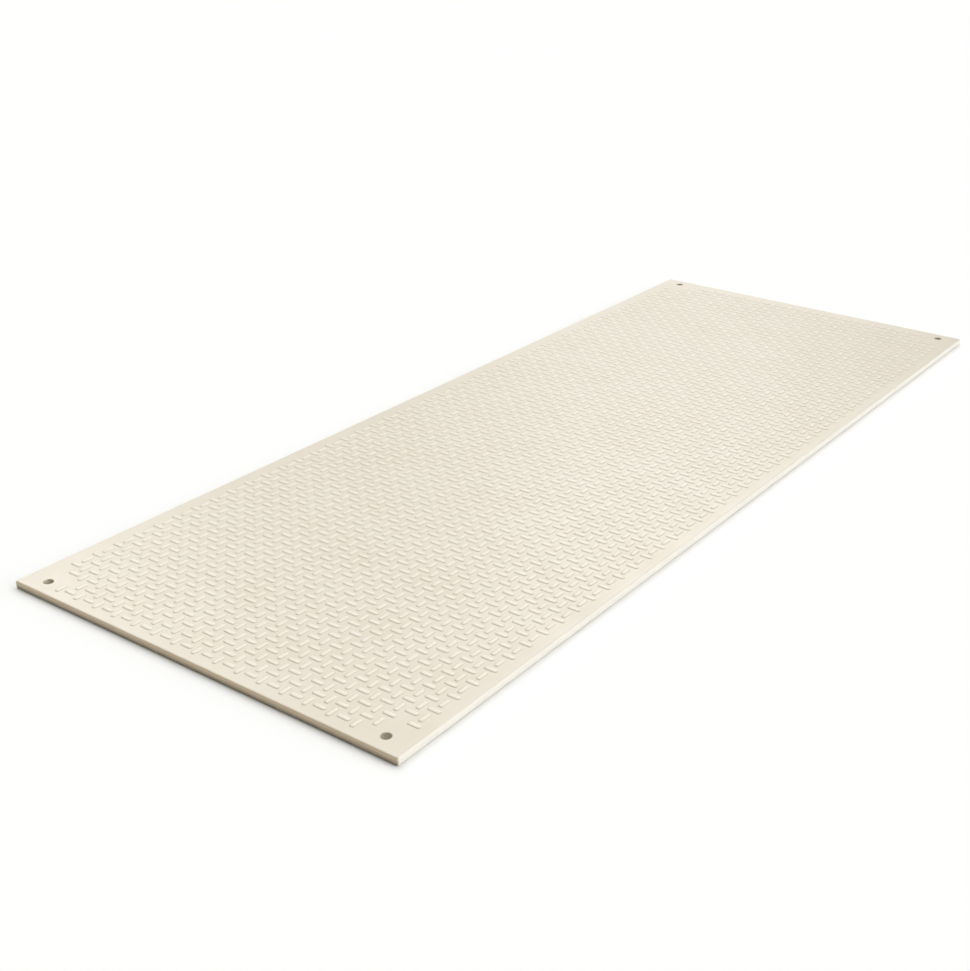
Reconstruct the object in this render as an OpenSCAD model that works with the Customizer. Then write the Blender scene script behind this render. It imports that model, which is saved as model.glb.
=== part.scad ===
// Ground protection mat: one moulded board that lies flat, with a round hole at each corner.
// The length runs along X, the width along Y, and the underside lies on the plane z = 0.

/* [Board] */
// Length of the board
board_length = 2438.4; // [1200:0.1:3000]
// Width of the board
board_width = 914.4; // [600:0.1:1300]
// Thickness of the board at its plain margin
board_thickness = 15; // [10:0.5:25]
// Radius of the four corners, seen from above
corner_radius = 4; // [4:0.5:60]
// Radius of the rounded rim, top and underside
rim_radius = 3; // [0.5:0.1:3.9]

/* [Corner holes] */
// Diameter of each hole
hole_diameter = 19; // [10:0.1:40]
// From a hole's centre to the nearer end of the board
hole_to_end = 35; // [30:0.1:120]
// From a hole's centre to the nearer long side of the board
hole_to_side = 52; // [30:0.1:120]
// Size of the chamfer at both mouths of a hole
hole_chamfer = 0.8; // [0.2:0.1:2]

/* [Hidden] */
$fn = 96;
// The corner arcs turn about these points
corner_x = board_length / 2 - corner_radius;
corner_y = board_width / 2 - corner_radius;
hole_x = board_length / 2 - hole_to_end;
hole_y = board_width / 2 - hole_to_side;
// How far a cut runs past the face that it opens
cut_past = 1;

// Section of the board's rim, from an inner plane at x = 0 out to its face at x = reach
module rim_section(reach) {
    square([reach - rim_radius, board_thickness]);
    translate([0, rim_radius])
        square([reach, board_thickness - 2 * rim_radius]);
    intersection() {
        square([reach, board_thickness]);
        for (z = [rim_radius, board_thickness - rim_radius])
            translate([reach - rim_radius, z])
                circle(r = rim_radius);
    }
}

// Section right across the board, rounded at both faces, with half_span from the middle to a face
module full_section(half_span) {
    rim_section(half_span);
    mirror([1, 0])
        rim_section(half_span);
}

// Plate with a rounded rim on the two faces that look along X
module plate_along_x() {
    rotate([90, 0, 0])
        linear_extrude(height = 2 * corner_y, center = true)
            full_section(board_length / 2);
}

// Plate with a rounded rim on the two faces that look along Y
module plate_along_y() {
    rotate([90, 0, 90])
        linear_extrude(height = 2 * corner_x, center = true)
            full_section(board_width / 2);
}

// Quarter turn of the rim that closes one corner
module corner_turn() {
    rotate_extrude(angle = 90)
        rim_section(corner_radius);
}

module corners() {
    translate([corner_x, corner_y]) corner_turn();
    translate([-corner_x, corner_y]) rotate(90) corner_turn();
    translate([-corner_x, -corner_y]) rotate(180) corner_turn();
    translate([corner_x, -corner_y]) rotate(270) corner_turn();
}

// What a hole takes away: a straight bore that opens out at both mouths
module hole_cut() {
    bore_radius = hole_diameter / 2;
    mouth_radius = bore_radius + hole_chamfer;
    translate([0, 0, -cut_past])
        cylinder(r = bore_radius, h = board_thickness + 2 * cut_past);
    translate([0, 0, board_thickness - hole_chamfer])
        cylinder(r1 = bore_radius, r2 = mouth_radius + cut_past, h = hole_chamfer + cut_past);
    translate([0, 0, -cut_past])
        cylinder(r1 = mouth_radius + cut_past, r2 = bore_radius, h = hole_chamfer + cut_past);
}

module mat_board() {
    color([0.90, 0.87, 0.80])
        difference() {
            union() {
                plate_along_x();
                plate_along_y();
                corners();
            }
            for (x = [-hole_x, hole_x], y = [-hole_y, hole_y])
                translate([x, y])
                    hole_cut();
        }
}

mat_board();
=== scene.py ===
import math

import bmesh
import bpy
from mathutils import Matrix, Quaternion, Vector


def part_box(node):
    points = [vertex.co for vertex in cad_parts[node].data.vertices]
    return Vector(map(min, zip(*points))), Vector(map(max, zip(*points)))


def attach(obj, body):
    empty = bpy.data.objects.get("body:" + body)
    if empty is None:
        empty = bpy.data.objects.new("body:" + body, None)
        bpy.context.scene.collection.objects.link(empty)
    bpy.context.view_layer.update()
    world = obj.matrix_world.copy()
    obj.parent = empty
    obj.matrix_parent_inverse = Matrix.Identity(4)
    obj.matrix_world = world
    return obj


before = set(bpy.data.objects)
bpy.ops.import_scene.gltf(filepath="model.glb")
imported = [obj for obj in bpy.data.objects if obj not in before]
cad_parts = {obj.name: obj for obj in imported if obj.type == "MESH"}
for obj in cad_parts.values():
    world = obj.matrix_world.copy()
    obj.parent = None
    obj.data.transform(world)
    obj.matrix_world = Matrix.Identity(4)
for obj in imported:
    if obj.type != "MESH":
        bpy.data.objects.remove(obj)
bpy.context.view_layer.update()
scene = bpy.context.scene
mm = 0.001  # every size below is in real millimetres times this, unless its note says otherwise
boardLow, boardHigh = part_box("mat_board")
boardTop = boardHigh.z
print("Frame loaded: board is", [round(side / mm, 1) for side in boardHigh - boardLow], "mm")


def hexToLinear(code):
    channels = [int(code[i:i + 2], 16) / 255 for i in (1, 3, 5)]
    # the sRGB curve
    return tuple(c / 12.92 if c <= 0.04045 else ((c + 0.055) / 1.055) ** 2.4 for c in channels) + (1.0,)


def addNode(tree, kind, settings=None, links=None):
    node = tree.nodes.new(kind)
    for name, value in (settings or {}).items():
        if isinstance(name, int) or name in node.inputs:
            node.inputs[name].default_value = value
        else:
            setattr(node, name, value)
    for name, socket in (links or {}).items():
        tree.links.new(socket, node.inputs[name])
    return node


def newMaterial(name):
    material = bpy.data.materials.new(name)
    material.use_nodes = True
    material.node_tree.nodes.clear()
    return material, material.node_tree


# Camera, solved from the outline of the board in the photograph
viewpoint = {
    "place": (-2587.6, -1606.5, 1287.3),  # from the middle of the board's top face
    "aim": (-352.7, 15.7, 0.0),
    "roll": 0.73,  # degrees
    "lens": 53.16,
    "sensor": 36.0,  # width that the lens goes with
}


def makeCamera():
    middle = Vector((0, 0, boardTop))
    place = middle + Vector(viewpoint["place"]) * mm
    aim = middle + Vector(viewpoint["aim"]) * mm
    data = bpy.data.cameras.new("camera")
    data.sensor_fit = "HORIZONTAL"
    data.sensor_width = viewpoint["sensor"]
    data.lens = viewpoint["lens"]
    camera = bpy.data.objects.new("camera", data)
    turn = (aim - place).to_track_quat("-Z", "Y") @ Quaternion((0, 0, 1), math.radians(viewpoint["roll"]))
    camera.matrix_world = Matrix.Translation(place) @ turn.to_matrix().to_4x4()
    scene.collection.objects.link(camera)
    scene.camera = camera


makeCamera()
print("Camera placed")

# Tread of short raised bars, laid alternately along and across the board on one square grid
tread = {
    "pitch": 25.4,
    "border": 38.1,  # from the board's edges to the middle of the first bar, before the shift
    "shift": (-5.0, -3.0),  # how far the whole tread sits off the middle of the board
    "length": 27.0,
    "width": 11.0,
    "endRadius": 4.0,  # corners of a bar, seen from above
    "endSegments": 2,  # facets in each of those corners
    "sink": 0.4,  # how deep a bar's root stands in the board
    # inset from the foot and height above the board of each ring, from the foot up
    "rings": ((0.3, 0.15), (1.3, 0.85), (2.6, 1.35), (4.4, 1.5)),
    "plainCorner": 80.0,  # bars that would reach into this square at a corner are left out
}


def makeBar():
    halfLength, halfWidth = tread["length"] / 2 * mm, tread["width"] / 2 * mm
    bm = bmesh.new()
    bmesh.ops.create_grid(bm, x_segments=1, y_segments=1, size=1)
    bmesh.ops.scale(bm, vec=(halfLength, halfWidth, 1), verts=bm.verts)
    bmesh.ops.bevel(bm, geom=bm.verts[:], offset=tread["endRadius"] * mm, affect="VERTICES",
                    segments=tread["endSegments"], profile=0.5, material=-1)
    bmesh.ops.translate(bm, vec=(0, 0, -tread["sink"] * mm), verts=bm.verts)
    cap = bm.faces[:]
    inset, height = 0, -tread["sink"]
    for newInset, newHeight in tread["rings"]:
        rim = bmesh.ops.extrude_face_region(bm, geom=cap)["geom"]
        if inset:
            bmesh.ops.delete(bm, geom=cap, context="FACES_ONLY")  # the first cap stays, as the bar's underside
        cap = [part for part in rim if isinstance(part, bmesh.types.BMFace)]
        verts = [part for part in rim if isinstance(part, bmesh.types.BMVert)]
        shrinkLength = (halfLength - newInset * mm) / (halfLength - inset * mm)
        shrinkWidth = (halfWidth - newInset * mm) / (halfWidth - inset * mm)
        bmesh.ops.scale(bm, vec=(shrinkLength, shrinkWidth, 1), verts=verts)
        bmesh.ops.translate(bm, vec=(0, 0, (newHeight - height) * mm), verts=verts)
        inset, height = newInset, newHeight
    bmesh.ops.recalc_face_normals(bm, faces=bm.faces)
    mesh = bpy.data.meshes.new("bar")
    bm.to_mesh(mesh)
    bm.free()
    return mesh


def barSites(across):
    pitch, border = tread["pitch"] * mm, tread["border"] * mm
    shift = Vector((*tread["shift"], 0)) * mm
    columns = round((boardHigh.x - boardLow.x - 2 * border) / pitch) + 1
    rows = round((boardHigh.y - boardLow.y - 2 * border) / pitch) + 1
    reachX, reachY = tread["length"] / 2 * mm, tread["width"] / 2 * mm
    if across:
        reachX, reachY = reachY, reachX
    for column in range(columns):
        for row in range(rows):
            isAcross = (column + row) % 2 == 0
            if isAcross != across:
                continue
            x = boardLow.x + border + column * pitch
            y = boardLow.y + border + row * pitch
            fromEnd = min(x - boardLow.x, boardHigh.x - x) - reachX
            fromSide = min(y - boardLow.y, boardHigh.y - y) - reachY
            if max(fromEnd, fromSide) > tread["plainCorner"] * mm:
                yield Vector((x, y, boardTop)) + shift


def makeTread(name, across, material):
    bar = makeBar()
    if across:
        bar.transform(Matrix.Rotation(math.radians(90), 4, "Z"))
    bm = bmesh.new()
    here = Vector((0, 0, 0))
    count = 0
    for site in barSites(across):  # one bar moves on from site to site, and a copy of it stays at each
        bar.transform(Matrix.Translation(site - here))
        bm.from_mesh(bar)
        here = site
        count += 1
    mesh = bpy.data.meshes.new(name)
    bm.to_mesh(mesh)
    bm.free()
    bpy.data.meshes.remove(bar)
    mesh.shade_smooth()
    mesh.materials.append(material)
    piece = bpy.data.objects.new(name, mesh)
    scene.collection.objects.link(piece)
    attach(piece, "root")
    print(name, "has", count, "bars and", len(mesh.polygons), "faces")


# Natural high-density polyethylene, compression moulded and cut to length by saw: ivory and faintly cloudy,
# with a satin skin that gives long soft highlights, duller handled patches and crests of the bars rubbed paler;
# the long sides painted paler as painted highlight, the ends painted browner as painted shade, and painted
# shade low on the ends
plastic = {
    "pale": "#DAD2C1",
    "warm": "#D3C9B5",
    "rubbed": "#E2DACB",
    # painted highlight: the long sides paler, standing in for the strong light that falls on them
    "side": "#ECE7DD",
    # painted shade: the ends browner, standing in for the shade that falls on them
    "paintedEndShade": "#DAC7A7",
    # painted shade: the ends darker towards the floor
    "paintedLowShade": "#857860",
    "ior": 1.54,
    "roughness": (0.29, 0.37),  # least and most, from one patch to the next
    "patterns": {  # size of its marks along X, Y and Z, and how much finer detail they have
        "clouds": (160.0, 160.0, 160.0, 3.0),
        "streaks": (320.0, 14.0, 14.0, 2.0),  # flow marks left by the melt run along the board
        "patches": (42.0, 42.0, 42.0, 2.0),
        "grain": (1.4, 1.4, 1.4, 2.0),  # coarser than the real grain, so that it shows
        "sawMarks": (0.8, 0.8, 9.6, 2.0),
    },
    "spread": (0.2, 0.8),  # part of a pattern's range that goes from none to all of a tone
    "streakStrength": 0.4,
    "crest": (0.6, 1.3),  # height above the board's top where the rubbed tone begins, and where it is full
    "rim": (3.0, 0.5),  # distance from the ends and long sides where their painted tones begin, and where they are full
    "lowShade": (11.0, 1.0),  # height above the floor where the painted shade on the ends begins, and where it is full
    "reliefStrength": 0.15,
    "reliefDepth": 0.2,
}


def makePlastic():
    material, tree = newMaterial("mouldedNaturalHdpe")
    place = addNode(tree, "ShaderNodeTexCoord").outputs["Object"]
    axes = addNode(tree, "ShaderNodeSeparateXYZ", None, {"Vector": place}).outputs
    patterns, fromMiddle, masks = {}, {}, {}
    for name, (*sizes, detail) in plastic["patterns"].items():
        scaled = addNode(tree, "ShaderNodeVectorMath",
                         {"operation": "DIVIDE", 1: [size * mm for size in sizes]}, {0: place})
        patterns[name] = addNode(tree, "ShaderNodeTexNoise", {"Scale": 1.0, "Detail": detail},
                                 {"Vector": scaled.outputs["Vector"]}).outputs["Fac"]
    for axis in "XY":
        distance = addNode(tree, "ShaderNodeMath", {"operation": "ABSOLUTE"}, {0: axes[axis]})
        fromMiddle[axis] = distance.outputs["Value"]

    crestLow, crestHigh = (boardTop + height * mm for height in plastic["crest"])
    lowShadeHigh, lowShadeLow = (height * mm for height in plastic["lowShade"])
    rimIn, rimOut = (distance * mm for distance in plastic["rim"])
    spreads = {  # what each mask reads, where it begins, where it is full, and its strength there
        "clouds": (patterns["clouds"], *plastic["spread"], 1.0),
        "streaks": (patterns["streaks"], *plastic["spread"], plastic["streakStrength"]),
        "crests": (axes["Z"], crestLow, crestHigh, 1.0),
        # painted highlight on both long sides
        "paintedLightSides": (fromMiddle["Y"], boardHigh.y - rimIn, boardHigh.y - rimOut, 1.0),
        "ends": (fromMiddle["X"], boardHigh.x - rimIn, boardHigh.x - rimOut, 1.0),
        "lowDown": (axes["Z"], lowShadeHigh, lowShadeLow, 1.0),
    }
    for name, (value, begins, full, strength) in spreads.items():
        masks[name] = addNode(tree, "ShaderNodeMapRange",
                              {"From Min": begins, "From Max": full, "To Max": strength},
                              {"Value": value}).outputs["Result"]
    # painted shade low down on the ends
    masks["lowShade"] = addNode(tree, "ShaderNodeMath", {"operation": "MULTIPLY"},
                            {0: masks["ends"], 1: masks["lowDown"]}).outputs["Value"]

    # each tone lies over the ones before it; a Mix node's two colours are its inputs 6 and 7
    tones = (("warm", "clouds"), ("warm", "streaks"), ("rubbed", "crests"), ("side", "paintedLightSides"), ("paintedEndShade", "ends"),
             ("paintedLowShade", "lowShade"))
    pale = addNode(tree, "ShaderNodeRGB")
    pale.outputs[0].default_value = hexToLinear(plastic["pale"])
    colour = pale.outputs[0]
    for tone, mask in tones:
        colour = addNode(tree, "ShaderNodeMix", {"data_type": "RGBA", 7: hexToLinear(plastic[tone])},
                         {0: masks[mask], 6: colour}).outputs[2]

    patchLow, patchHigh = plastic["spread"]
    shiny, dull = plastic["roughness"]
    roughness = addNode(tree, "ShaderNodeMapRange",
                        {"From Min": patchLow, "From Max": patchHigh, "To Min": shiny, "To Max": dull},
                        {"Value": patterns["patches"]}).outputs["Result"]
    relief = addNode(tree, "ShaderNodeMix", {"data_type": "FLOAT"},
                     {0: masks["ends"], 2: patterns["grain"], 3: patterns["sawMarks"]}).outputs[0]
    bump = addNode(tree, "ShaderNodeBump",
                   {"Strength": plastic["reliefStrength"], "Distance": plastic["reliefDepth"] * mm},
                   {"Height": relief})
    shader = addNode(tree, "ShaderNodeBsdfPrincipled", {"IOR": plastic["ior"]},
                     {"Base Color": colour, "Roughness": roughness, "Normal": bump.outputs["Normal"]})
    addNode(tree, "ShaderNodeOutputMaterial", None, {"Surface": shader.outputs["BSDF"]})
    return material


hdpe = makePlastic()
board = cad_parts["mat_board"]
board.data.materials.clear()
board.data.materials.append(hdpe)
print("Plastic put on the board")
makeTread("tread_bars_along", False, hdpe)
makeTread("tread_bars_across", True, hdpe)

# Pale floor, and a soft dome of light with brighter glows in it that stand for softboxes and for a pale wall
studio = {
    "floor": "#F6F6F4",
    "floorRoughness": 0.9,
    "floorSize": 60.0,  # metres
    "ambient": 0.1,
    # compass angle and height of a glow's middle, angle from there where it ends and where it is full, strength
    "glows": {
        "highGlow": (50.0, 62.0, 52.0, 11.0, 2.2),
        "rightGlow": (298.0, 14.0, 45.0, 15.0, 2.7),
        "sheenGlow": (27.0, 27.2, 13.0, 0.0, 2.8),
        "leftGlow": (57.0, 32.5, 9.0, 1.0, 4.5),
        "paleWall": (0.0, -90.0, 98.0, 92.0, 0.8),  # all round, up to a little above the horizon
    },
}


def makeFloor():
    bm = bmesh.new()
    bmesh.ops.create_grid(bm, x_segments=1, y_segments=1, size=studio["floorSize"] / 2)
    mesh = bpy.data.meshes.new("floor")
    bm.to_mesh(mesh)
    bm.free()
    # matt emulsion paint, rolled on: even and pale, with no highlight to compete with the board's
    material, tree = newMaterial("paleMattPaint")
    shader = addNode(tree, "ShaderNodeBsdfPrincipled",
                     {"Base Color": hexToLinear(studio["floor"]), "Roughness": studio["floorRoughness"]})
    addNode(tree, "ShaderNodeOutputMaterial", None, {"Surface": shader.outputs["BSDF"]})
    mesh.materials.append(material)
    floor = bpy.data.objects.new("floor", mesh)
    scene.collection.objects.link(floor)


def makeDome():
    world = bpy.data.worlds.new("softDome")
    scene.world = world
    world.use_nodes = True
    tree = world.node_tree
    tree.nodes.clear()
    direction = addNode(tree, "ShaderNodeTexCoord").outputs["Generated"]
    total = addNode(tree, "ShaderNodeValue")
    total.outputs[0].default_value = studio["ambient"]
    for *angles, strength in studio["glows"].values():
        turn, lift, outer, inner = (math.radians(angle) for angle in angles)
        aim = Vector((math.cos(lift) * math.cos(turn), math.cos(lift) * math.sin(turn), math.sin(lift)))
        toward = addNode(tree, "ShaderNodeVectorMath", {"operation": "DOT_PRODUCT", 1: aim}, {0: direction})
        glow = addNode(tree, "ShaderNodeMapRange",
                       {"interpolation_type": "SMOOTHSTEP", "From Min": math.cos(outer),
                        "From Max": math.cos(inner), "To Max": strength},
                       {"Value": toward.outputs["Value"]})
        total = addNode(tree, "ShaderNodeMath", {"operation": "ADD"},
                        {0: glow.outputs["Result"], 1: total.outputs["Value"]})
    background = addNode(tree, "ShaderNodeBackground", {"Color": (1, 1, 1, 1)},
                         {"Strength": total.outputs["Value"]})
    addNode(tree, "ShaderNodeOutputWorld", None, {"Surface": background.outputs["Background"]})


makeFloor()
makeDome()
scene.view_settings.view_transform = "Standard"
print("Floor and light placed")
